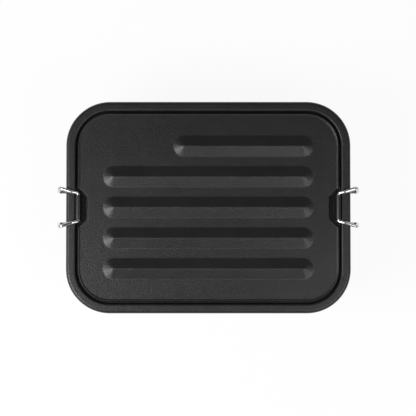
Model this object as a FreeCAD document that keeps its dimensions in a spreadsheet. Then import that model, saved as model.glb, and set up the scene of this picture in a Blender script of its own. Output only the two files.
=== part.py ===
import FreeCAD
import Part
import Sketcher
import math
import os
from FreeCAD import Placement, Rotation, Vector

# Driving dimensions, in millimetres. Insets are measured inwards from the lid's outer edge.
SIZES = (
    ("lid_length", 168.0),
    ("lid_width", 125.0),
    ("lid_corner", 26.0),
    ("lid_gauge", 0.8),
    ("panel_height", 58.0),
    ("bead_rise", 0.4),
    ("bead_width", 5.0),
    ("bead_round", 2.4),
    ("groove_width", 2.9),
    ("groove_depth", 2.5),
    ("shoulder_round", 1.1),
    ("skirt_depth", 8.5),
    ("rib_width", 12.4),
    ("rib_rise", 2.0),
    ("rib_crest", 0.4),
    ("rib_pitch", 18.1),
    ("rib_length", 124.0),
    ("short_rib_length", 82.6),
    ("notch_reach", 4.4),
    ("notch_mouth", 23.8),
    ("notch_back", 13.6),
    ("tub_gauge", 0.9),
    ("wall_inset", 4.0),
    ("base_round", 6.0),
    ("rim_overhang", 2.7),
    ("rim_height", 3.0),
    ("rim_round", 1.4),
    ("rim_lip_ease", 0.6),
    ("seal_clearance", 0.1),
    ("channel_ease", 1.0),
    ("seat_clearance", 0.3),
    ("wire_diameter", 2.0),
    ("bar_inset", 7.2),
    ("barrel_length", 14.2),
    ("barrel_diameter", 3.0),
    ("bore_clearance", 0.1),
    ("hinge_rise", 3.0),
    ("foot_gauge", 0.8),
    ("foot_reach", 4.4),
    ("foot_margin", 0.8),
    ("bar_overrun", 1.2),
    ("bar_bend", 1.3),
    ("arm_clearance", 0.6),
    ("arm_crossing", 3.5),
    ("arm_rise_spread", 0.8),
    ("arm_spread", 11.4),
    ("arm_bend", 3.0),
    ("arm_reach", 3.6),
    ("arm_fall", 0.4),
    ("shoulder_bend", 2.0),
    ("leg_standoff", 5.2),
    ("leg_spread", 9.5),
    ("hook_drop", 3.1),
    ("hook_bend", 1.8),
    ("hook_clearance", 0.45),
)

doc = FreeCAD.newDocument("lunch_box")
sheet = doc.addObject("Spreadsheet::Sheet", "dims")
for row, (alias, size) in enumerate(SIZES, start=1):
    sheet.set(f"A{row}", alias)
    sheet.set(f"B{row}", str(size))
    sheet.setAlias(f"B{row}", alias)
doc.recompute()

# Levels and insets that several pieces share, as expressions on the sheet.
CREST = "dims.panel_height + dims.bead_rise"
GROOVE_FLOOR = "dims.panel_height - dims.groove_depth"
GROOVE_UNDERSIDE = f"{GROOVE_FLOOR} - dims.lid_gauge"
PANEL_UNDERSIDE = "dims.panel_height - dims.lid_gauge"
SKIRT_BOTTOM = "dims.panel_height - dims.skirt_depth"
CHANNEL_TOP = f"{CREST} - dims.lid_gauge"
CHANNEL_INNER = "dims.bead_width - dims.lid_gauge"
SHOULDER = "dims.bead_width + dims.groove_width"
SHOULDER_INNER = f"{SHOULDER} + dims.lid_gauge"
TUB_TOP = f"{GROOVE_UNDERSIDE} - dims.seat_clearance"
RIM_OUTER = "dims.wall_inset - dims.rim_overhang"
CAVITY = "dims.wall_inset + dims.tub_gauge"
SEAL_OUTER = "dims.lid_gauge + dims.seal_clearance"
SEAL_INNER = f"{CHANNEL_INNER} - dims.seal_clearance"
SEAL_TOP = f"{CHANNEL_TOP} - dims.seal_clearance"
HINGE_X = "dims.lid_length / 2 - dims.bar_inset"
HINGE_Z = f"{GROOVE_FLOOR} + dims.hinge_rise"
TOLERANCE = 1e-4
SIDES = (("left", -1), ("right", 1))


def number(expression):
    """Value of an expression on the sheet, as a plain number."""
    return float(sheet.evalExpression(expression))


def inset_of(point):
    """Distance of a point inside the lid's rounded outline, seen from above."""
    corner = number("dims.lid_corner")
    over_x = abs(point.x) - (number("dims.lid_length / 2") - corner)
    over_y = abs(point.y) - (number("dims.lid_width / 2") - corner)
    outside = math.hypot(max(over_x, 0.0), max(over_y, 0.0))
    return corner - outside - min(max(over_x, over_y), 0.0)


def new_body(name):
    body = doc.addObject("PartDesign::Body", name)
    body.Label = name
    return body


def new_sketch(body, name, level):
    """Sketch on the body's horizontal plane, lifted to a level."""
    sketch = body.newObject("Sketcher::SketchObject", name)
    plane = next(item for item in body.Origin.OriginFeatures if item.Role == "XY_Plane")
    sketch.AttachmentSupport = [(plane, "")]
    sketch.MapMode = "FlatFace"
    sketch.setExpression("AttachmentOffset.Base.z", level)
    return sketch


def bind(sketch, constraint, expression):
    """Add a dimension to a sketch and tie it to the sheet."""
    index = sketch.addConstraint(constraint)
    sketch.setExpression(f"Constraints[{index}]", expression)


def add_outline(sketch, inset):
    """Rounded rectangle that runs at an inset inside the lid's outer edge."""
    half_x = number(f"dims.lid_length / 2 - ({inset})")
    half_y = number(f"dims.lid_width / 2 - ({inset})")
    radius = number(f"dims.lid_corner - ({inset})")
    flat_x = half_x - radius
    flat_y = half_y - radius
    first = sketch.GeometryCount

    def line(start, end):
        sketch.addGeometry(Part.LineSegment(Vector(*start, 0), Vector(*end, 0)), False)

    def corner(centre, quarter):
        circle = Part.Circle(Vector(*centre, 0), Vector(0, 0, 1), radius)
        start = quarter * math.pi / 2
        sketch.addGeometry(Part.ArcOfCircle(circle, start, start + math.pi / 2), False)

    line((-flat_x, half_y), (flat_x, half_y))
    corner((flat_x, flat_y), 0)
    line((half_x, flat_y), (half_x, -flat_y))
    corner((flat_x, -flat_y), 3)
    line((flat_x, -half_y), (-flat_x, -half_y))
    corner((-flat_x, -flat_y), 2)
    line((-half_x, -flat_y), (-half_x, flat_y))
    corner((-flat_x, flat_y), 1)
    top, arc, right, bottom, left = first, first + 1, first + 2, first + 4, first + 6
    for step in range(0, 8, 2):
        side = first + step
        following = first + (step + 2) % 8
        sketch.addConstraint(Sketcher.Constraint("Tangent", side, 2, side + 1, 2))
        sketch.addConstraint(Sketcher.Constraint("Tangent", side + 1, 1, following, 1))
    for side, direction in ((top, "Horizontal"), (bottom, "Horizontal"), (right, "Vertical"), (left, "Vertical")):
        sketch.addConstraint(Sketcher.Constraint(direction, side))
    for other in (first + 3, first + 5, first + 7):
        sketch.addConstraint(Sketcher.Constraint("Equal", arc, other))
    sketch.addConstraint(Sketcher.Constraint("Symmetric", top, 1, bottom, 1, -1, 1))
    bind(sketch, Sketcher.Constraint("Radius", arc, radius), f"dims.lid_corner - ({inset})")
    bind(sketch, Sketcher.Constraint("DistanceX", left, 1, right, 1, 2 * half_x),
         f"dims.lid_length - 2 * ({inset})")
    bind(sketch, Sketcher.Constraint("DistanceY", bottom, 1, top, 1, 2 * half_y),
         f"dims.lid_width - 2 * ({inset})")


def outline_sketch(body, name, level, *insets):
    sketch = new_sketch(body, name, level)
    for inset in insets:
        add_outline(sketch, inset)
    return sketch


def pad(body, name, sketch, length):
    feature = body.newObject("PartDesign::Pad", name)
    feature.Profile = sketch
    feature.setExpression("Length", length)
    return feature


def pocket(body, name, sketch, depth, upwards=False):
    """Cut a sketch out of the body, downwards from its level unless told otherwise."""
    doc.recompute()
    before = body.Shape.Volume
    feature = body.newObject("PartDesign::Pocket", name)
    feature.Profile = sketch
    feature.Reversed = upwards
    feature.setExpression("Length", depth)
    doc.recompute()
    if body.Shape.Volume > before - TOLERANCE:
        raise RuntimeError(f"{name} cuts nothing")
    return feature


def ease_loops(body, name, size, *loops, flat=False):
    """Round the closed edges that lie at given pairs of inset and level, or cut them flat."""
    doc.recompute()
    base = body.Tip
    places = [(number(inset), number(level)) for inset, level in loops]
    names = []
    for index, edge in enumerate(base.Shape.Edges, start=1):
        middle = edge.valueAt((edge.FirstParameter + edge.LastParameter) / 2)
        points = [middle] + [vertex.Point for vertex in edge.Vertexes]
        for inset, level in places:
            if all(abs(inset_of(p) - inset) < 1e-3 and abs(p.z - level) < 1e-3 for p in points):
                names.append(f"Edge{index}")
    feature = body.newObject("PartDesign::Chamfer" if flat else "PartDesign::Fillet", name)
    feature.Base = (base, names)
    feature.setExpression("Size" if flat else "Radius", size)
    return feature


def add_notch_outlines(sketch, mouth_inset, grown):
    """Two mirrored trapezoids, open towards the groove, that widen to the panel's edge."""
    mouth = f"dims.lid_length / 2 - ({mouth_inset})"
    back = f"dims.lid_length / 2 - ({SHOULDER}) - dims.notch_reach - ({grown})"
    mouth_half = "dims.notch_mouth / 2"
    back_half = f"dims.notch_back / 2 + ({grown})"
    for _, side in SIDES:
        first = sketch.GeometryCount
        corners = [(side * number(x), turn * number(y))
                   for x, y, turn in ((mouth, mouth_half, 1), (back, back_half, 1),
                                      (back, back_half, -1), (mouth, mouth_half, -1))]
        for step in range(4):
            start, end = corners[step], corners[(step + 1) % 4]
            sketch.addGeometry(Part.LineSegment(Vector(*start, 0), Vector(*end, 0)), False)
        for step in range(4):
            sketch.addConstraint(
                Sketcher.Constraint("Coincident", first + step, 2, first + (step + 1) % 4, 1))
        for left_end, right_end in ((0, 3), (1, 2)):
            sketch.addConstraint(
                Sketcher.Constraint("Symmetric", first + left_end, 1, first + right_end, 1, -1))
        ends = ((-1, 1, first, 1) if side > 0 else (first, 1, -1, 1),
                (-1, 1, first + 1, 1) if side > 0 else (first + 1, 1, -1, 1))
        for pair, across in zip(ends, (mouth, back)):
            bind(sketch, Sketcher.Constraint("DistanceX", *pair, number(across)), across)
        for corner, half in ((first, mouth_half), (first + 1, back_half)):
            bind(sketch, Sketcher.Constraint("DistanceY", -1, 1, corner, 1, number(half)), half)


def build_tub():
    """Deep-drawn tub: round-bottomed walls and a rolled rim that stands outwards."""
    body = new_body("tub")
    pad(body, "tub_blank", outline_sketch(body, "tub_wall_outline", "0", "dims.wall_inset"), TUB_TOP)
    rim_bottom = f"{TUB_TOP} - dims.rim_height"
    rim = outline_sketch(body, "tub_rim_outline", rim_bottom, RIM_OUTER, CAVITY)
    pad(body, "tub_rim", rim, "dims.rim_height")
    cavity = outline_sketch(body, "tub_cavity_outline", TUB_TOP, CAVITY)
    pocket(body, "tub_cavity", cavity, f"{TUB_TOP} - dims.tub_gauge")
    ease_loops(body, "tub_floor_round", "dims.base_round - dims.tub_gauge", (CAVITY, "dims.tub_gauge"))
    ease_loops(body, "tub_base_round", "dims.base_round", ("dims.wall_inset", "0"))
    ease_loops(body, "tub_rim_roll", "dims.rim_round", (RIM_OUTER, TUB_TOP), (RIM_OUTER, rim_bottom))
    ease_loops(body, "tub_rim_lip", "dims.rim_lip_ease", (CAVITY, TUB_TOP), flat=True)
    return body


def build_lid_shell():
    """Pressed lid without its ribs: skirt, rounded bead, groove, panel and two notches."""
    body = new_body("lid_shell")
    blank = outline_sketch(body, "lid_outline", SKIRT_BOTTOM, "0")
    pad(body, "lid_blank", blank, f"{CREST} - ({SKIRT_BOTTOM})")
    recess = outline_sketch(body, "panel_recess_outline", CREST, "dims.bead_width")
    pocket(body, "panel_recess", recess, "dims.bead_rise")
    groove = outline_sketch(body, "groove_outline", "dims.panel_height", "dims.bead_width", SHOULDER)
    pocket(body, "groove", groove, "dims.groove_depth")
    hollow = outline_sketch(body, "skirt_hollow_outline", SKIRT_BOTTOM, "dims.lid_gauge")
    pocket(body, "skirt_hollow", hollow, f"{GROOVE_UNDERSIDE} - ({SKIRT_BOTTOM})", upwards=True)
    channel = outline_sketch(body, "channel_outline", GROOVE_UNDERSIDE, "dims.lid_gauge", CHANNEL_INNER)
    pocket(body, "seal_channel", channel, f"{CHANNEL_TOP} - ({GROOVE_UNDERSIDE})", upwards=True)
    under = outline_sketch(body, "panel_underside_outline", GROOVE_UNDERSIDE, SHOULDER_INNER)
    pocket(body, "panel_underside", under, f"{PANEL_UNDERSIDE} - ({GROOVE_UNDERSIDE})", upwards=True)
    ease_loops(body, "bead_rounding", "dims.bead_round", ("0", CREST), ("dims.bead_width", CREST))
    ease_loops(body, "channel_easing", "dims.channel_ease",
               ("dims.lid_gauge", CHANNEL_TOP), (CHANNEL_INNER, CHANNEL_TOP), flat=True)
    ease_loops(body, "shoulder_rounding", "dims.shoulder_round", (SHOULDER, "dims.panel_height"))
    tray = new_sketch(body, "notch_tray_outline", GROOVE_UNDERSIDE)
    add_notch_outlines(tray, f"{SHOULDER} + dims.lid_gauge / 2", "dims.lid_gauge")
    pad(body, "notch_tray", tray, f"{PANEL_UNDERSIDE} - ({GROOVE_UNDERSIDE})")
    notch = new_sketch(body, "notch_outline", CREST)
    add_notch_outlines(notch, f"{SHOULDER} - dims.lid_gauge", "0")
    pocket(body, "notch", notch, f"{CREST} - ({GROOVE_FLOOR})")
    return body


def build_rib(name, left_end, right_end, centre_y, level):
    """Roof-shaped rib: a ridged prism between two half cones."""
    ridge = doc.addObject("Part::Wedge", f"{name}_ridge")
    ridge.Placement = Placement(Vector(), Rotation(Vector(1, 0, 0), 90))
    first = f"{left_end} + dims.rib_width / 2"
    last = f"{right_end} - dims.rib_width / 2"
    bounds = {
        "Xmin": first, "X2min": first, "Xmax": last, "X2max": last,
        "Ymin": "0", "Ymax": "dims.rib_rise",
        "Zmin": "-dims.rib_width / 2", "Zmax": "dims.rib_width / 2",
        "Z2min": "-dims.rib_crest / 2", "Z2max": "dims.rib_crest / 2",
    }
    for key, expression in bounds.items():
        ridge.setExpression(key, expression)
    pieces = [ridge]
    for end, place, turn in (("start", first, 90), ("finish", last, -90)):
        cone = doc.addObject("Part::Cone", f"{name}_{end}")
        cone.Angle = 180
        cone.Placement = Placement(Vector(), Rotation(Vector(0, 0, 1), turn))
        cone.setExpression("Radius1", "dims.rib_width / 2")
        cone.setExpression("Radius2", "dims.rib_crest / 2")
        cone.setExpression("Height", "dims.rib_rise")
        cone.setExpression("Placement.Base.x", place)
        pieces.append(cone)
    for piece in pieces:
        piece.setExpression("Placement.Base.y", centre_y)
        piece.setExpression("Placement.Base.z", level)
    return pieces


def build_lid():
    """Lid with five ribs pressed up out of its panel, so that they are hollow underneath."""
    shell = build_lid_shell()
    raised = []
    hollows = []
    long_start = "-dims.rib_length / 2"
    short_start = "dims.rib_length / 2 - dims.short_rib_length"
    for place in range(-2, 3):
        start = short_start if place == 2 else long_start
        centre_y = f"{place} * dims.rib_pitch"
        label = f"rib_{place + 3}"
        raised += build_rib(label, start, "dims.rib_length / 2", centre_y, "dims.panel_height")
        hollows += build_rib(f"{label}_hollow", start, "dims.rib_length / 2", centre_y, PANEL_UNDERSIDE)
    ribbed = doc.addObject("Part::MultiFuse", "ribbed_shell")
    ribbed.Shapes = [shell] + raised
    hollow = doc.addObject("Part::MultiFuse", "rib_hollows")
    hollow.Shapes = hollows
    lid = doc.addObject("Part::Cut", "lid")
    lid.Base = ribbed
    lid.Tool = hollow
    lid.Label = "lid"
    return lid


def build_seal():
    """Silicone ring that fills the lid's channel above the tub's rim."""
    body = new_body("lid_seal")
    ring = outline_sketch(body, "seal_outline", GROOVE_UNDERSIDE, SEAL_OUTER, SEAL_INNER)
    pad(body, "seal_ring", ring, f"{SEAL_TOP} - ({GROOVE_UNDERSIDE})")
    ease_loops(body, "seal_easing", "dims.channel_ease",
               (SEAL_OUTER, SEAL_TOP), (SEAL_INNER, SEAL_TOP), flat=True)
    return body


def build_clip_hinge(name, side):
    """Barrel that carries a wire clip, on a flat foot fixed to the notch's floor."""
    along_y = Rotation(Vector(1, 0, 0), -90)

    def cylinder(label, radius):
        item = doc.addObject("Part::Cylinder", label)
        item.Placement = Placement(Vector(), along_y)
        item.setExpression("Radius", radius)
        item.setExpression("Height", "dims.barrel_length")
        item.setExpression("Placement.Base.x", f"{side} * ({HINGE_X})")
        item.setExpression("Placement.Base.y", "-dims.barrel_length / 2")
        item.setExpression("Placement.Base.z", HINGE_Z)
        return item

    def block(label, width, height, centre_x):
        item = doc.addObject("Part::Box", label)
        item.setExpression("Length", width)
        item.setExpression("Width", "dims.barrel_length - 2 * dims.foot_margin")
        item.setExpression("Height", height)
        item.setExpression("Placement.Base.x", f"{side} * ({centre_x}) - ({width}) / 2")
        item.setExpression("Placement.Base.y", "dims.foot_margin - dims.barrel_length / 2")
        item.setExpression("Placement.Base.z", GROOVE_FLOOR)
        return item

    barrel = cylinder(f"{name}_barrel", "dims.barrel_diameter / 2")
    bore = cylinder(f"{name}_bore", "dims.wire_diameter / 2 + dims.bore_clearance")
    neck = block(f"{name}_neck", "dims.barrel_diameter / 2", "dims.hinge_rise", HINGE_X)
    foot = block(f"{name}_foot", "dims.foot_reach", "dims.foot_gauge",
                 f"{HINGE_X} + dims.barrel_diameter / 4 - dims.foot_reach / 2")
    body = doc.addObject("Part::MultiFuse", f"{name}_body")
    body.Shapes = [barrel, neck, foot]
    hinge = doc.addObject("Part::Cut", name)
    hinge.Base = body
    hinge.Tool = bore
    hinge.Label = name
    return hinge


def bent_path(corners, bends):
    """Straight runs joined by tangent arcs, one bend radius for each inner corner."""
    edges = []
    start = corners[0]
    for before, corner, after, radius in zip(corners, corners[1:], corners[2:], bends):
        incoming = (corner - before).normalize()
        outgoing = (after - corner).normalize()
        half_turn = incoming.getAngle(outgoing) / 2
        reach = radius * math.tan(half_turn)
        bisector = (outgoing - incoming).normalize()
        arc_start = corner - incoming * reach
        arc_end = corner + outgoing * reach
        arc_middle = corner + bisector * (radius / math.cos(half_turn) - radius)
        edges.append(Part.LineSegment(start, arc_start).toShape())
        edges.append(Part.Arc(arc_start, arc_middle, arc_end).toShape())
        start = arc_end
    edges.append(Part.LineSegment(start, corners[-1]).toShape())
    return Part.Wire(edges)


def build_wire_clip(name, side):
    """Sprung steel wire: a bar in the barrel, two arms over the bead and two inward hooks."""
    edge_x = number("dims.lid_length / 2")
    wire_radius = number("dims.wire_diameter / 2")
    arm_z = number(f"{CREST} + dims.arm_clearance") + wire_radius
    hook_z = number(f"{SKIRT_BOTTOM} - dims.hook_drop")
    tip_x = edge_x - number(f"{RIM_OUTER} - dims.hook_clearance")
    bar_end = number("dims.barrel_length / 2 + dims.bar_overrun")
    leg_y = number("dims.leg_spread")
    arm = [
        Vector(side * tip_x, leg_y, hook_z),
        Vector(side * (edge_x + number("dims.leg_standoff")), leg_y, hook_z),
        Vector(side * (edge_x + number("dims.arm_reach")), number("dims.arm_spread"),
               arm_z - number("dims.arm_fall")),
        Vector(side * (edge_x - number("dims.arm_crossing")),
               bar_end + number("dims.arm_rise_spread"), arm_z),
        Vector(side * number(HINGE_X), bar_end, number(HINGE_Z)),
    ]
    bends = [number(f"dims.{bend}") for bend in ("hook_bend", "shoulder_bend", "arm_bend", "bar_bend")]
    corners = arm + [Vector(point.x, -point.y, point.z) for point in reversed(arm)]
    path = bent_path(corners, bends + bends[::-1])
    section = Part.Wire(Part.makeCircle(wire_radius, corners[0], Vector(side, 0, 0)))
    solid = path.makePipeShell([section], True, False)
    expected = math.pi * wire_radius ** 2 * path.Length
    if abs(solid.Volume / expected - 1) > 0.01:
        raise RuntimeError(f"{name} has volume {solid.Volume:.2f} for {expected:.2f}")
    clip = doc.addObject("Part::Feature", name)
    clip.Shape = solid
    clip.Placement = Placement()
    clip.Label = name
    return clip


pieces = [build_tub(), build_lid(), build_seal()]
for side_name, side_sign in SIDES:
    pieces.append(build_clip_hinge(f"{side_name}_clip_hinge", side_sign))
    pieces.append(build_wire_clip(f"{side_name}_wire_clip", side_sign))

doc.recompute()
for item in doc.Objects:
    if "Invalid" in item.State or "Error" in item.State:
        raise RuntimeError(f"{item.Name} failed: {item.State}")
for piece in pieces:
    if piece.Shape.isNull() or not piece.Shape.isValid():
        raise RuntimeError(f"{piece.Label} has no valid shape")

os.makedirs("parts", exist_ok=True)
for piece in pieces:
    piece.Shape.exportStep(f"parts/{piece.Label}.step")
    box = piece.Shape.BoundBox
    print(f"{piece.Label}: {len(piece.Shape.Solids)} solid, {piece.Shape.Volume:.0f} mm3, "
          f"x {box.XMin:.1f}..{box.XMax:.1f}, y {box.YMin:.1f}..{box.YMax:.1f}, "
          f"z {box.ZMin:.1f}..{box.ZMax:.1f}")
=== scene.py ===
import math

import bpy
import numpy as np
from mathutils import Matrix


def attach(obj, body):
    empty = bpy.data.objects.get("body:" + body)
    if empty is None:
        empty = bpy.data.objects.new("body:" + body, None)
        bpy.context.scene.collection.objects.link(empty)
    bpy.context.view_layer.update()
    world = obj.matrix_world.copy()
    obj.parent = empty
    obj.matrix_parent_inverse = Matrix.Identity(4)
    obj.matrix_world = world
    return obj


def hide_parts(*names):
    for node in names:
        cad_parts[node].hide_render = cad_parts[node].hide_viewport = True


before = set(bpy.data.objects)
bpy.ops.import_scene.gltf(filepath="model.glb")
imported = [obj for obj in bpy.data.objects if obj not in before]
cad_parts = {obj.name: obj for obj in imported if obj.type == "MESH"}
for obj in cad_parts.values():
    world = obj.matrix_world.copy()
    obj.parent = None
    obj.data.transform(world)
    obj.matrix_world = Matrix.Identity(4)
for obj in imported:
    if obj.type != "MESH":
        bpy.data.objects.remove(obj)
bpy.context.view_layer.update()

# Tub: the lower half of the box, one sheet of steel drawn into a deep pan with round corners. Its top edge is
# rolled outwards into a stiff rim, and the pan is powder coated inside and out. It stands on its flat floor.
# Sizes are in millimetres, and an inset is measured inwards from the lid's outer edge.
MM = 0.001
LID_LENGTH, LID_WIDTH, LID_CORNER = 168.0, 125.0, 26.0
CORNER_X, CORNER_Y = LID_LENGTH / 2 - LID_CORNER, LID_WIDTH / 2 - LID_CORNER
WALL_INSET, TUB_GAUGE = 4.0, 0.9
FLOOR_ROUND, MOUTH_ROUND = 6.0, 0.6
RIM_INSET, RIM_LOW, RIM_HIGH = 2.7, 52.8, 53.0    # centres of the rolled rim's lower and upper rounds
RIM_ROUND, RIM_FILLET = 1.4, 0.4
SHARP_CORNER = math.radians(50)


def arc(inset, height, radius, start, end, steps):
    """Part of a circle in a profile: its centre plus radius times (cos, sin) of angles, in degrees, spread
    evenly from start to end."""
    turn = np.radians(np.linspace(start, end, steps + 1))
    return np.stack([inset + radius * np.cos(turn), height + radius * np.sin(turn)], axis=1)


def side_lines(corner_centre, steps):
    """Grid lines of one direction: the ends of the straight run, with even steps beyond for the corners."""
    beyond = corner_centre + np.linspace(0, 1, steps + 1)
    return np.concatenate([-beyond[::-1], beyond])


def walk_round(xs, ys):
    """Edge of a grid walked anticlockwise from its lower left: along x, up y, back along x and down y."""
    x = np.concatenate([xs[:-1], np.full(len(ys) - 1, xs[-1]), xs[:0:-1], np.full(len(ys) - 1, xs[0])])
    y = np.concatenate([np.full(len(xs) - 1, ys[0]), ys[:-1], np.full(len(xs) - 1, ys[-1]), ys[:0:-1]])
    return x, y


def carried_round(profile, xs, ys):
    """A profile of (inset, height) carried round the box: each point lands at the nearest point of the
    rectangle through the corner centres, plus (corner radius - inset) along an outward direction that swings
    through a quarter turn, grid line by grid line, at each corner."""
    x, y = walk_round(xs, ys)
    over_x = np.clip(np.abs(x) - CORNER_X, 0, None) / (xs[-1] - CORNER_X)
    over_y = np.clip(np.abs(y) - CORNER_Y, 0, None) / (ys[-1] - CORNER_Y)
    swing = math.pi / 4 * (1 + over_y - over_x)
    place = np.stack([np.clip(x, -CORNER_X, CORNER_X), np.clip(y, -CORNER_Y, CORNER_Y)], axis=1)
    outward = np.stack([np.sign(x) * np.cos(swing), np.sign(y) * np.sin(swing)], axis=1)
    reach = LID_CORNER - profile[:, 0]
    flat = place[:, None, :] + reach[None, :, None] * outward[:, None, :]
    height = np.broadcast_to(profile[None, :, 1:], flat.shape[:2] + (1,))
    return np.concatenate([flat, height], axis=2)


def numbered(grid):
    """Point numbers of a grid of points, counted row by row from 0."""
    return np.arange(grid.shape[0] * grid.shape[1]).reshape(grid.shape[:2])


def quads(index):
    """Faces of a grid of point numbers: each point with its next ones down the columns and along the rows."""
    return np.stack([index[:-1, :-1], index[1:, :-1], index[1:, 1:], index[:-1, 1:]], axis=-1).reshape(-1, 4)


def closed(index, axis):
    """Grid of point numbers with its first row or column added again at the end, so that its faces meet."""
    return np.concatenate([index, index.take([0], axis=axis)], axis=axis)


def make_piece(name, points, faces, body, slot, *nodes):
    """Mesh from points in millimetres, smooth apart from its sharp corners, that rides on its body in place
    of its CAD nodes."""
    mesh = bpy.data.meshes.new(name)
    mesh.from_pydata((np.reshape(points, (-1, 3)) * MM).tolist(), [], faces)
    mesh.shade_smooth()
    mesh.set_sharp_from_angle(angle=SHARP_CORNER)
    piece = bpy.data.objects.new(name, mesh)
    bpy.context.scene.collection.objects.link(piece)
    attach(piece, body)
    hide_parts(*nodes)
    return piece


tub_profile = np.concatenate([
    arc(WALL_INSET + FLOOR_ROUND, FLOOR_ROUND, FLOOR_ROUND, 270, 180, 14),
    arc(WALL_INSET - RIM_FILLET, RIM_LOW - RIM_ROUND - RIM_FILLET, RIM_FILLET, 0, 90, 3),
    arc(RIM_INSET, RIM_LOW, RIM_ROUND, 270, 180, 8),
    arc(RIM_INSET, RIM_HIGH, RIM_ROUND, 180, 90, 8),
    arc(WALL_INSET + TUB_GAUGE - MOUTH_ROUND, RIM_HIGH + RIM_ROUND - MOUTH_ROUND, MOUTH_ROUND, 90, 0, 5),
    arc(WALL_INSET + FLOOR_ROUND, FLOOR_ROUND, FLOOR_ROUND - TUB_GAUGE, 180, 270, 14)])
tub_grid = carried_round(tub_profile, side_lines(CORNER_X, steps=14), side_lines(CORNER_Y, steps=14))
tub_index = numbered(tub_grid)
tub_faces = quads(closed(tub_index, 0)).tolist() + [tub_index[::-1, 0].tolist(), tub_index[:, -1].tolist()]
tub = make_piece("tub_pan", tub_grid, tub_faces, "box", "black_coating", "tub")
tub.modifiers.new("even_shading", "WEIGHTED_NORMAL")


def linear(hex_colour):
    """sRGB hex to linear: a channel c over 0.04045 is ((c + 0.055) / 1.055) to the power 2.4, and a lower
    one is c / 12.92."""
    channels = np.array([int(hex_colour[place:place + 2], 16) for place in (1, 3, 5)]) / 255
    return (*np.where(channels > 0.04045, ((channels + 0.055) / 1.055) ** 2.4, channels / 12.92), 1.0)


def add(tree, kind, sockets, **settings):
    """Adds a node: settings go on the node itself, and each socket gets a value or a link."""
    node = tree.nodes.new(kind)
    for key, value in settings.items():
        setattr(node, key, value)
    for key, value in sockets.items():
        if isinstance(value, bpy.types.NodeSocket):
            tree.links.new(value, node.inputs[key])
        else:
            node.inputs[key].default_value = value
    return node


def fresh_material(name):
    """New material, its node tree, its shader's sockets, and the point in object space for its patterns."""
    material = bpy.data.materials.new(name)
    material.use_nodes = True
    tree = material.node_tree
    point = add(tree, "ShaderNodeTexCoord", {}).outputs["Object"]
    return material, tree, tree.nodes["Principled BSDF"].inputs, point


# Satin powder coat: polyester powder melted on to the steel, near black. It flows into a fine even grain that
# scatters the highlights softly and varies the gloss, and its tone drifts a little where the film is thicker.
# In the sunken notches its tone is darker, which is painted shade, and the film is smoother there. A point
# attribute says where, from 0 to 1.
GRAIN = 0.7    # drawn coarser than the real 0.2 mm so that it shows
GRAIN_HEIGHT = 0.18
GRAIN_STRENGTH, NOTCH_GRAIN_STRENGTH = 0.85, 0.4
COAT_ROUGHNESS, NOTCH_ROUGHNESS = (0.3, 0.4), 0.2
FILM_DRIFT = 14.0    # size of the slow changes of tone
NOISE_SPAN = {"From Min": 0.3, "From Max": 0.7}    # where most of a noise's values lie
coat, coat_tree, coat_shader, coat_point = fresh_material("satin_powder_coat")
grain = add(coat_tree, "ShaderNodeTexNoise",
            {"Vector": coat_point, "Scale": 1 / (GRAIN * MM), "Detail": 3.0, "Roughness": 0.6}).outputs["Fac"]
drift = add(coat_tree, "ShaderNodeTexNoise",
            {"Vector": coat_point, "Scale": 1 / (FILM_DRIFT * MM), "Detail": 2.0}).outputs["Fac"]
notch_shade_and_gloss = add(coat_tree, "ShaderNodeAttribute", {}, attribute_name="notch_shade_and_gloss").outputs["Fac"]
even_tone = add(coat_tree, "ShaderNodeMix",
                {"Factor": drift, "A": linear("#131314"), "B": linear("#1e1e20")}, data_type="RGBA")
# The darker colour mixed in where the point attribute is 1 is painted shade in the notches.
tone = add(coat_tree, "ShaderNodeMix",
           {"Factor": notch_shade_and_gloss, "A": even_tone.outputs["Result"], "B": linear("#111112")}, data_type="RGBA")
even_gloss = add(coat_tree, "ShaderNodeMapRange",
                 {"Value": grain, **NOISE_SPAN, "To Min": COAT_ROUGHNESS[0], "To Max": COAT_ROUGHNESS[1]})
gloss = add(coat_tree, "ShaderNodeMix",
            {"Factor": notch_shade_and_gloss, "A": even_gloss.outputs["Result"], "B": NOTCH_ROUGHNESS})
depth = add(coat_tree, "ShaderNodeMapRange",
            {"Value": notch_shade_and_gloss, "To Min": GRAIN_STRENGTH, "To Max": NOTCH_GRAIN_STRENGTH})
relief = add(coat_tree, "ShaderNodeBump",
             {"Height": grain, "Strength": depth.outputs["Result"], "Distance": GRAIN_HEIGHT * MM})
coat_tree.links.new(tone.outputs["Result"], coat_shader["Base Color"])
coat_tree.links.new(gloss.outputs["Result"], coat_shader["Roughness"])
coat_tree.links.new(relief.outputs["Normal"], coat_shader["Normal"])
coat_shader["IOR"].default_value = 1.45
tub.data.materials.append(coat)

# Seal: a ring of food-grade silicone pressed into the channel under the lid's bead, above the tub's rim.
# It is moulded in one piece with rounded shoulders, and it lifts away with the lid.
SEAL_OUTER, SEAL_INNER = 0.9, 4.1
SEAL_FOOT, SEAL_BEVEL = 54.7, 0.1
SEAL_SHOULDER, SEAL_ROUND = 56.1, 1.4
seal_profile = np.concatenate([
    arc(SEAL_OUTER + SEAL_ROUND, SEAL_SHOULDER, SEAL_ROUND, 180, 90, 6),
    arc(SEAL_INNER - SEAL_ROUND, SEAL_SHOULDER, SEAL_ROUND, 90, 0, 6),
    [[SEAL_INNER, SEAL_FOOT + SEAL_BEVEL], [SEAL_INNER - SEAL_BEVEL, SEAL_FOOT],
     [SEAL_OUTER + SEAL_BEVEL, SEAL_FOOT], [SEAL_OUTER, SEAL_FOOT + SEAL_BEVEL]]])
seal_grid = carried_round(seal_profile, side_lines(CORNER_X, steps=12), side_lines(CORNER_Y, steps=12))
seal = make_piece("seal_ring", seal_grid, quads(closed(closed(numbered(seal_grid), 0), 1)).tolist(),
                  "lid", "seal_silicone", "lid_seal")
seal.modifiers.new("even_shading", "WEIGHTED_NORMAL")

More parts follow.
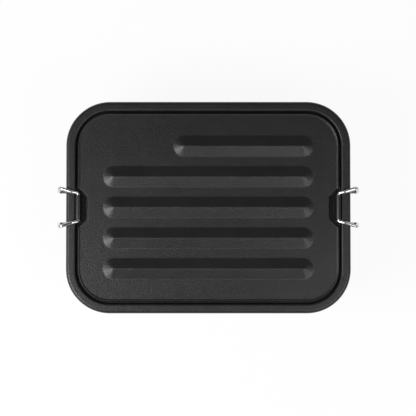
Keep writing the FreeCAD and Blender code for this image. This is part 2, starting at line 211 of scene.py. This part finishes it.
# Moulded silicone: a dark grey rubber with a soft sheen, a little cloudy in tone, and very finely matt.
CLOUD, MATT_GRAIN, MATT_HEIGHT = 6.0, 0.6, 0.04
rubber, rubber_tree, rubber_shader, rubber_point = fresh_material("moulded_silicone")
cloud = add(rubber_tree, "ShaderNodeTexNoise",
            {"Vector": rubber_point, "Scale": 1 / (CLOUD * MM), "Detail": 2.0}).outputs["Fac"]
matt = add(rubber_tree, "ShaderNodeTexNoise",
           {"Vector": rubber_point, "Scale": 1 / (MATT_GRAIN * MM), "Detail": 2.0}).outputs["Fac"]
cloudy = add(rubber_tree, "ShaderNodeMix",
             {"Factor": cloud, "A": linear("#3e3e41"), "B": linear("#4b4b4f")}, data_type="RGBA")
skin = add(rubber_tree, "ShaderNodeBump", {"Height": matt, "Strength": 0.2, "Distance": MATT_HEIGHT * MM})
rubber_tree.links.new(cloudy.outputs["Result"], rubber_shader["Base Color"])
rubber_tree.links.new(skin.outputs["Normal"], rubber_shader["Normal"])
rubber_shader["Roughness"].default_value = 0.55
rubber_shader["IOR"].default_value = 1.41
seal.data.materials.append(rubber)

# Lid: one pressed sheet of steel with a turned-down skirt, a round bead and a narrow groove round its panel.
# Five roof-shaped ribs stiffen the panel, and each short side has a sunken notch for its clip. It is powder
# coated like the tub, and it lifts straight off.
LID_GAUGE = 0.8
SKIRT_FOOT, SKIRT_LINE = 49.5, 52.5    # heights of the skirt's lower edge and of a grid line above it
BEAD_TOP, BEAD_ROUND = 58.4, 1.9
SHOULDER_INSET, SHOULDER_ROUND = 4.45, 1.2
GROOVE_INSET, GROOVE_FLOOR, GROOVE_ROUND = 6.45, 55.5, 0.3
PANEL = 58.0
LIP, LIP_INSET, LIP_ROUND = 58.63, 7.45, 0.25
LIP_FOOT, LIP_SLOPE = 8.4, 0.8
LIP_CREASE, LIP_RUN = 0.02, 0.06    # how far the lip's foot is softened, and the grid lines beside it
RIB_HALF, RIB_CREST = 6.2, 0.2    # half widths of a rib's foot and of its crest
RIB_RISE, RIB_PITCH = 2.0, 18.1
RIB_END, SHORT_RIB_START = 62.0, -20.6
RIB_ROWS, SHORT_ROW = range(-2, 3), 2    # rows counted from the middle rib, and the short rib's row
CREASE = 0.03    # how far a rib's creases are softened, as a share of its slope
NOTCH_MOUTH, NOTCH_BACK = (7.1, 11.9), (12.3, 6.8)    # inset and half width at each end of its slanted sides
NOTCH_START = 6.2
NOTCH_LINE, NOTCH_SPREAD = 9.4, 18.1    # grid line bent on to the slanted sides, and how far the bend reaches
WALL_RUN = 0.03    # half the run of a notch's steep walls
PANEL_REACH_X, PANEL_REACH_Y, PANEL_INSET = 64.5, 44.25, 13.2    # ends of the ribs' grid and of the rim's


def softened(value, crease):
    """Larger of value and 0 with its corner rounded: (value + sqrt(value squared + crease squared)) / 2."""
    return (value + np.sqrt(value ** 2 + crease ** 2)) / 2


def rib_height(x, y, start, centre_y):
    """Roof with half-cone ends: the rise falls evenly with distance from the crest line, and is softened both
    where it leaves the panel and where it reaches the crest."""
    along = np.clip(x, start + RIB_HALF, RIB_END - RIB_HALF)
    share = (RIB_HALF - np.hypot(x - along, y - centre_y)) / (RIB_HALF - RIB_CREST)
    return RIB_RISE * (1 - softened(1 - softened(share, CREASE), CREASE))


# The panel's grid lines stand close together at the ribs' creases and at the notches' sides.
slope_lines = np.concatenate([
    [RIB_CREST, 0.45], np.linspace(1.0, 5.5, 9), RIB_HALF + np.array([-0.3, -0.05, 0.2, 0.6])])
cone_lines = np.concatenate([[-0.6, -0.2], slope_lines])
end_lines = np.concatenate([RIB_END - RIB_HALF + cone_lines, [63.5, PANEL_REACH_X]])
panel_x = np.concatenate([
    -end_lines[::-1], np.linspace(-46, -28, 4), SHORT_RIB_START + RIB_HALF - cone_lines[::-1],
    np.linspace(-6, 48, 8), end_lines])
rib_lines = np.concatenate([-slope_lines[::-1], slope_lines])
gap_lines = np.array([7.4, 8.0, 8.7, NOTCH_LINE - WALL_RUN, NOTCH_LINE + WALL_RUN, 10.1, 10.7])
rib_and_gap = np.concatenate([rib_lines, gap_lines])
panel_y = np.concatenate([[-PANEL_REACH_Y], *(rib_and_gap + row * RIB_PITCH for row in RIB_ROWS[:-1]),
                          rib_lines + RIB_ROWS[-1] * RIB_PITCH, [PANEL_REACH_Y]])
edge_inset = np.concatenate([
    np.linspace(7.66, LIP_FOOT - LIP_RUN, 5), [LIP_FOOT, LIP_FOOT + LIP_RUN], np.linspace(8.8, 11.8, 7),
    [NOTCH_BACK[0] - WALL_RUN, NOTCH_BACK[0] + WALL_RUN, PANEL_INSET]])
edge_height = PANEL + LIP_SLOPE * softened(LIP_FOOT - edge_inset, LIP_CREASE)
lid_profile = np.concatenate([
    [[0.0, SKIRT_FOOT], [0.0, SKIRT_LINE]],
    arc(BEAD_ROUND, BEAD_TOP - BEAD_ROUND, BEAD_ROUND, 180, 90, 10),
    arc(SHOULDER_INSET, BEAD_TOP - SHOULDER_ROUND, SHOULDER_ROUND, 90, 8, 9),
    arc(GROOVE_INSET, GROOVE_FLOOR + GROOVE_ROUND, GROOVE_ROUND, 195, 345, 6),
    arc(LIP_INSET, LIP - LIP_ROUND, LIP_ROUND, 175, 58, 6),
    np.stack([edge_inset, edge_height], axis=1)])
rim_grid = carried_round(lid_profile, panel_x, panel_y)

# Each notch is sunk to the groove's floor, and lines across the short side are bent on to its slanted sides.
inset = np.broadcast_to(lid_profile[:, 0], rim_grid.shape[:2])
on_short_side = np.abs(rim_grid[..., 0]) > CORNER_X
across = np.abs(rim_grid[..., 1])
in_notch = on_short_side & (inset > NOTCH_START) & (inset < NOTCH_BACK[0]) & (across < NOTCH_LINE)
rim_grid[in_notch, 2] = GROOVE_FLOOR
half_width = np.interp(inset, *np.transpose([NOTCH_MOUTH, NOTCH_BACK]))
beside = (across - NOTCH_LINE) * (NOTCH_SPREAD - half_width) / (NOTCH_SPREAD - NOTCH_LINE)
bent = np.where(across < NOTCH_LINE, across * half_width / NOTCH_LINE, half_width + beside)
rim_grid[..., 1] = np.where(on_short_side & (across < NOTCH_SPREAD),
                            np.sign(rim_grid[..., 1]) * bent, rim_grid[..., 1])

flat_x, flat_y = np.meshgrid(panel_x, panel_y)
relief_height = sum(
    rib_height(flat_x, flat_y, SHORT_RIB_START if row == SHORT_ROW else -RIB_END, row * RIB_PITCH)
    for row in RIB_ROWS)
panel_grid = np.stack([flat_x, flat_y, PANEL + relief_height - relief_height.min()], axis=-1)
rim_index = numbered(rim_grid)
panel_index = rim_index.size + numbered(panel_grid)
panel_edge = np.concatenate([panel_index[0, :-1], panel_index[:-1, -1],
                             panel_index[-1, :0:-1], panel_index[:0:-1, 0]])
join_index = np.stack([rim_index[:, -1], panel_edge], axis=1)
lid_faces = np.concatenate([quads(closed(rim_index, 0)), quads(closed(join_index, 0)), quads(panel_index.T)])
lid_points = np.concatenate([rim_grid.reshape(-1, 3), panel_grid.reshape(-1, 3)])
lid = make_piece("lid_pressing", lid_points, lid_faces.tolist(), "lid", "black_coating", "lid")
sheet = lid.modifiers.new("sheet_gauge", "SOLIDIFY")
sheet.thickness = LID_GAUGE * MM
sheet.offset = -1.0
lid.modifiers.new("even_shading", "WEIGHTED_NORMAL")
# The notch's points are marked for the coat's painted shade, a darker tone, and for its smoother film.
lid_notch_shade_and_gloss = np.concatenate([in_notch.ravel(), np.zeros(panel_index.size)])
lid.data.attributes.new("notch_shade_and_gloss", "FLOAT", "POINT").data.foreach_set("value", lid_notch_shade_and_gloss)
lid.data.materials.append(coat)

# Clip hinges: on each short side a strap of steel is folded round into a barrel with eight soft flats, and
# its flat foot is spot welded to the notch's floor. It is coated with the lid and carries the clip's bar.
HINGE_X, HINGE_Z = 76.8, 58.5
BARREL_RADIUS, BORE_RADIUS = 1.5, 1.1
BARREL_HALF, STRAP_HALF = 7.1, 6.3    # half lengths along the box's short side
EDGE_ROUND, FLATNESS = 0.15, 0.85
NECK_INNER, NECK_OUTER, NECK_TOP = 76.05, 77.55, 57.3
FOOT_END, FOOT_TOP, FOOT_FILLET = 73.15, 56.3, 0.3
SIDES = (("left", -1), ("right", 1))


def turned(profile, steps):
    """A closed profile of (radius, y, flatness) turned about the hinge line: x and z are the reach times cos
    and sin, where the reach is the radius over the cosine of the angle to the nearest of eight flats, raised
    to the flatness, so that 0 is round and 1 is an octagon."""
    turn = np.linspace(0, 2 * math.pi, steps, endpoint=False)[:, None]
    radius, along, flatness = np.broadcast_to(profile.T[:, None, :], (3, steps, len(profile)))
    reach = radius / np.cos(turn % (math.pi / 4) - math.pi / 8) ** flatness
    return np.stack([HINGE_X + reach * np.cos(turn), along, HINGE_Z + reach * np.sin(turn)], axis=-1)


barrel_profile = np.array([
    [BARREL_RADIUS - EDGE_ROUND, -BARREL_HALF, FLATNESS],
    [BARREL_RADIUS, -BARREL_HALF + EDGE_ROUND, FLATNESS],
    [BARREL_RADIUS, BARREL_HALF - EDGE_ROUND, FLATNESS],
    [BARREL_RADIUS - EDGE_ROUND, BARREL_HALF, FLATNESS],
    [BORE_RADIUS, BARREL_HALF, 0.0], [BORE_RADIUS, -BARREL_HALF, 0.0]])
barrel_grid = turned(barrel_profile, steps=64)
barrel_index = numbered(barrel_grid)
strap_section = np.concatenate([
    [[NECK_OUTER, GROOVE_FLOOR], [NECK_OUTER, NECK_TOP], [NECK_INNER, NECK_TOP]],
    arc(NECK_INNER - FOOT_FILLET, FOOT_TOP + FOOT_FILLET, FOOT_FILLET, 360, 270, 3),
    [[FOOT_END, FOOT_TOP], [FOOT_END, GROOVE_FLOOR]]])
strap_grid = np.stack(np.broadcast_arrays(
    strap_section[:, :1], [-STRAP_HALF, STRAP_HALF], strap_section[:, 1:]), axis=-1)
strap_index = barrel_index.size + numbered(strap_grid)
hinge_faces = (quads(closed(closed(barrel_index, 0), 1)).tolist() + quads(closed(strap_index, 0)).tolist()
               + [strap_index[:, 1].tolist(), strap_index[::-1, 0].tolist()])
hinge_points = np.concatenate([barrel_grid.reshape(-1, 3), strap_grid.reshape(-1, 3)])
# The strap's foot, down in the notch, gets the same painted shade and smoother film; the barrel does not.
hinge_foot_shade_and_gloss = np.repeat([0.0, 1.0], [barrel_index.size, strap_index.size])
for side, sign in SIDES:
    hinge = make_piece(f"{side}_hinge_barrel", hinge_points * [sign, 1, 1],
                       [face[::-sign] for face in hinge_faces], "lid", "black_coating", f"{side}_clip_hinge")
    hinge.modifiers.new("even_shading", "WEIGHTED_NORMAL").keep_sharp = True
    hinge.data.attributes.new("notch_shade_and_gloss", "FLOAT", "POINT").data.foreach_set("value", hinge_foot_shade_and_gloss)
    hinge.data.materials.append(coat)

# Wire clips: spring-steel wire bent into a loop. The bar lies in the barrel, the two arms cross the bead and
# turn down past the lid's edge, and each ends in a hook that points in below the tub's rim. The hooks stop
# just outside the rim, because the wire is rigid here and can't spring over it.
WIRE_RADIUS = 1.0
HOOK_END, HOOK_BEND, EDGE_BEND = (83.15, 9.5, 46.4), (89.2, 9.5, 46.4), (87.6, 11.4, 59.6)
BEAD_BEND, BAR_END = (80.5, 9.1, 60.0), (HINGE_X, 8.3, HINGE_Z)
BEND_RADII = (1.8, 2.0, 3.0, 1.3)
END_STEPS, END_SHARES = (0.0, 0.12, 0.45), (0.45, 0.85)    # rounds the cut ends, along and across the wire


def bend_points(before, corner, after, radius, steps):
    """Arc that rounds one corner of the wire: from its start, radius times sin of evenly spread angles along
    the first run and radius times (1 - cos) inwards, so that it meets both runs without a kink."""
    come = (corner - before) / np.linalg.norm(corner - before)
    leave = (after - corner) / np.linalg.norm(after - corner)
    angle = math.acos(np.clip(come @ leave, -1, 1))
    inward = leave - come * (come @ leave)
    inward /= np.linalg.norm(inward)
    start = corner - come * radius * math.tan(angle / 2)
    turn = np.linspace(0, angle, steps)[:, None]
    return start + radius * (np.sin(turn) * come + (1 - np.cos(turn)) * inward)


def wire_tube(path, steps):
    """Round tube along a path: every point of the path gets a circle square to the wire, turned by one fixed
    direction that the wire never follows. The circles shrink at both ends, so the cut ends are rounded."""
    along = np.gradient(path, axis=0)
    along /= np.linalg.norm(along, axis=1, keepdims=True)
    fixed = np.array([0.58, 0.75, -0.79])
    across = fixed - along * (along @ fixed)[:, None]
    across /= np.linalg.norm(across, axis=1, keepdims=True)
    upward = np.cross(along, across)
    radius = np.full(len(path), WIRE_RADIUS)
    radius[[0, -1]], radius[[1, -2]] = WIRE_RADIUS * END_SHARES[0], WIRE_RADIUS * END_SHARES[1]
    turn = np.linspace(0, 2 * math.pi, steps, endpoint=False)
    ring = np.cos(turn)[None, :, None] * across[:, None, :] + np.sin(turn)[None, :, None] * upward[:, None, :]
    return path[:, None, :] + radius[:, None, None] * ring


arm = np.array([HOOK_END, HOOK_BEND, EDGE_BEND, BEAD_BEND, BAR_END])
corners = np.concatenate([arm, arm[::-1] * [1, -1, 1]])
rounded = [bend_points(*corners[place:place + 3], radius, steps=14)
           for place, radius in enumerate(BEND_RADII + BEND_RADII[::-1])]
cut_end = np.outer(END_STEPS, [1, 0, 0])
wire_path = np.concatenate([corners[0] + cut_end, *rounded, (corners[-1] + cut_end)[::-1]])
wire_grid = wire_tube(wire_path, steps=24)
wire_index = numbered(wire_grid)
wire_faces = quads(closed(wire_index, 1)).tolist() + [wire_index[0].tolist(), wire_index[-1, ::-1].tolist()]

# Drawn spring steel: bright wire pulled through a die, which leaves fine lines along it and a mirror-like
# gloss. The pattern's space is the wire's own: its round section across, and its length shrunk so that marks
# become lines.
LINE_WIDTH = 0.35    # drawn coarser than the real 0.05 mm so that the lines show
LINE_STRETCH = 25.0    # how much longer than wide a line is
HANDLING = 1.5    # size of the duller marks left by handling
STEEL_ROUGHNESS = (0.07, 0.13)
run = np.concatenate([[0.0], np.cumsum(np.linalg.norm(np.diff(wire_path, axis=0), axis=1))]) / LINE_STRETCH
section = WIRE_RADIUS * np.exp(1j * np.linspace(0, 2 * math.pi, wire_grid.shape[1], endpoint=False))
drawn_lines = MM * np.stack(np.broadcast_arrays(section.real, section.imag, run[:, None]), axis=-1)
steel, steel_tree, steel_shader, steel_point = fresh_material("drawn_spring_steel")
along_wire = add(steel_tree, "ShaderNodeAttribute", {}, attribute_name="drawn_lines").outputs["Vector"]
lines = add(steel_tree, "ShaderNodeTexNoise",
            {"Vector": along_wire, "Scale": 1 / (LINE_WIDTH * MM), "Detail": 2.0}).outputs["Fac"]
handling = add(steel_tree, "ShaderNodeTexNoise",
               {"Vector": steel_point, "Scale": 1 / (HANDLING * MM), "Detail": 3.0}).outputs["Fac"]
sheen = add(steel_tree, "ShaderNodeMapRange",
            {"Value": handling, **NOISE_SPAN, "To Min": STEEL_ROUGHNESS[0], "To Max": STEEL_ROUGHNESS[1]})
bright = add(steel_tree, "ShaderNodeMix",
             {"Factor": lines, "A": linear("#b4b4b2"), "B": linear("#d8d8d6")}, data_type="RGBA")
steel_tree.links.new(bright.outputs["Result"], steel_shader["Base Color"])
steel_tree.links.new(sheen.outputs["Result"], steel_shader["Roughness"])
steel_shader["Metallic"].default_value = 1.0

for side, sign in SIDES:
    clip = make_piece(f"{side}_clip_wire", wire_grid * [sign, 1, 1], [face[::-sign] for face in wire_faces],
                      f"{side}_clip", "clip_steel", f"{side}_wire_clip")
    wire_space = clip.data.attributes.new("drawn_lines", "FLOAT_VECTOR", "POINT")
    wire_space.data.foreach_set("vector", drawn_lines.ravel())
    clip.data.materials.append(steel)

# Studio: a round white sweep that curves up all round the box, under a grey ceiling, with a soft box at the
# left and a weaker one at the front right. The sweep is white to the camera and in reflections, and keeps the
# box's shadow. Sizes here are in metres.
SWEEP_RADIUS, SWEEP_HEIGHT, SWEEP_STEPS = 3.0, 0.9, 64
SWEEP_CURVE = 1.4    # radius where the flat floor starts to curve up
SWEEP_FLOOR = -0.0001    # a hair under the tub, so that the two surfaces don't share a plane
sweep_radius = np.concatenate([[0.02], np.linspace(0.3, SWEEP_RADIUS, 20)])
sweep_rise = np.clip(sweep_radius - SWEEP_CURVE, 0, None) / (SWEEP_RADIUS - SWEEP_CURVE)
sweep_height = SWEEP_FLOOR + SWEEP_HEIGHT * sweep_rise ** 2
sweep_turn = np.linspace(0, 2 * math.pi, SWEEP_STEPS, endpoint=False)[:, None]
sweep_grid = np.stack(np.broadcast_arrays(
    sweep_radius * np.cos(sweep_turn), sweep_radius * np.sin(sweep_turn), sweep_height), axis=-1)
sweep_index = numbered(sweep_grid)
sweep_mesh = bpy.data.meshes.new("white_sweep")
sweep_mesh.from_pydata(sweep_grid.reshape(-1, 3).tolist(), [],
                       quads(closed(sweep_index, 0))[:, ::-1].tolist() + [sweep_index[:, 0].tolist()])
sweep_mesh.shade_smooth()
floor = bpy.data.objects.new("white_sweep", sweep_mesh)
bpy.context.scene.collection.objects.link(floor)

# White paper: matt, and plain white to the camera and in gloss, apart from a share that keeps its shading.
SHADING_KEPT = 0.07
paper = bpy.data.materials.new("white_paper")
paper.use_nodes = True
paper_tree = paper.node_tree
paper_tree.nodes.remove(paper_tree.nodes["Principled BSDF"])
seen = add(paper_tree, "ShaderNodeLightPath", {}).outputs
by_eye = add(paper_tree, "ShaderNodeMath",
             {0: seen["Is Camera Ray"], 1: seen["Is Glossy Ray"]}, operation="MAXIMUM")
through = add(paper_tree, "ShaderNodeMath",
              {0: by_eye.outputs[0], 1: seen["Is Transmission Ray"]}, operation="MAXIMUM")
share = add(paper_tree, "ShaderNodeMath", {0: through.outputs[0], 1: 1 - SHADING_KEPT}, operation="MULTIPLY")
matt_paper = add(paper_tree, "ShaderNodeBsdfDiffuse", {"Color": linear("#f4f4f4")})
white = add(paper_tree, "ShaderNodeEmission", {"Color": linear("#ffffff"), "Strength": 1.0})
both = add(paper_tree, "ShaderNodeMixShader",
           {0: share.outputs[0], 1: matt_paper.outputs[0], 2: white.outputs[0]})
paper_tree.links.new(both.outputs[0], paper_tree.nodes["Material Output"].inputs["Surface"])
floor.data.materials.append(paper)

CEILING_STRENGTH = 0.14
ceiling = bpy.data.worlds.new("grey_ceiling")
bpy.context.scene.world = ceiling
ceiling.use_nodes = True
ceiling_light = ceiling.node_tree.nodes["Background"].inputs
ceiling_light["Color"].default_value = linear("#ffffff")
ceiling_light["Strength"].default_value = CEILING_STRENGTH

LAMP_DISTANCE, LAMP_SIZE = 0.6, 0.3


def soft_box(name, azimuth, elevation, power):
    """Square lamp on a sphere round the lid's middle, facing it from an azimuth and elevation in degrees."""
    lamp = bpy.data.lights.new(name, "AREA")
    lamp.shape = "SQUARE"
    lamp.size, lamp.energy = LAMP_SIZE, power
    holder = bpy.data.objects.new(name, lamp)
    bpy.context.scene.collection.objects.link(holder)
    turn, rise = math.radians(azimuth), math.radians(elevation)
    holder.location = (LAMP_DISTANCE * math.cos(rise) * math.cos(turn),
                       LAMP_DISTANCE * math.cos(rise) * math.sin(turn),
                       PANEL * MM + LAMP_DISTANCE * math.sin(rise))
    holder.rotation_euler = (math.pi / 2 - rise, 0, turn + math.pi / 2)


soft_box("main_soft_box", azimuth=203, elevation=48, power=3.4)
soft_box("side_soft_box", azimuth=322, elevation=55, power=1.4)

# Camera: almost straight above the lid, two degrees towards the front, as a product picture is taken. It is
# 0.9 m from the panel with a long lens, so that the box's sides hide under the lid's edge. Frame and aim are
# in millimetres.
CAMERA_DISTANCE = 0.9
FRAME_WIDTH = 245.4
AIM_X, AIM_Y = -0.2, -0.4
LEAN = math.radians(2.0)
lens = bpy.data.cameras.new("camera")
lens.sensor_width = 36.0
lens.lens = lens.sensor_width * CAMERA_DISTANCE / (FRAME_WIDTH * MM)
camera = bpy.data.objects.new("camera", lens)
bpy.context.scene.collection.objects.link(camera)
camera.location = (AIM_X * MM, AIM_Y * MM - CAMERA_DISTANCE * math.sin(LEAN),
                   PANEL * MM + CAMERA_DISTANCE * math.cos(LEAN))
camera.rotation_euler = (LEAN, 0, 0)
bpy.context.scene.camera = camera
bpy.context.scene.view_settings.view_transform = "Standard"
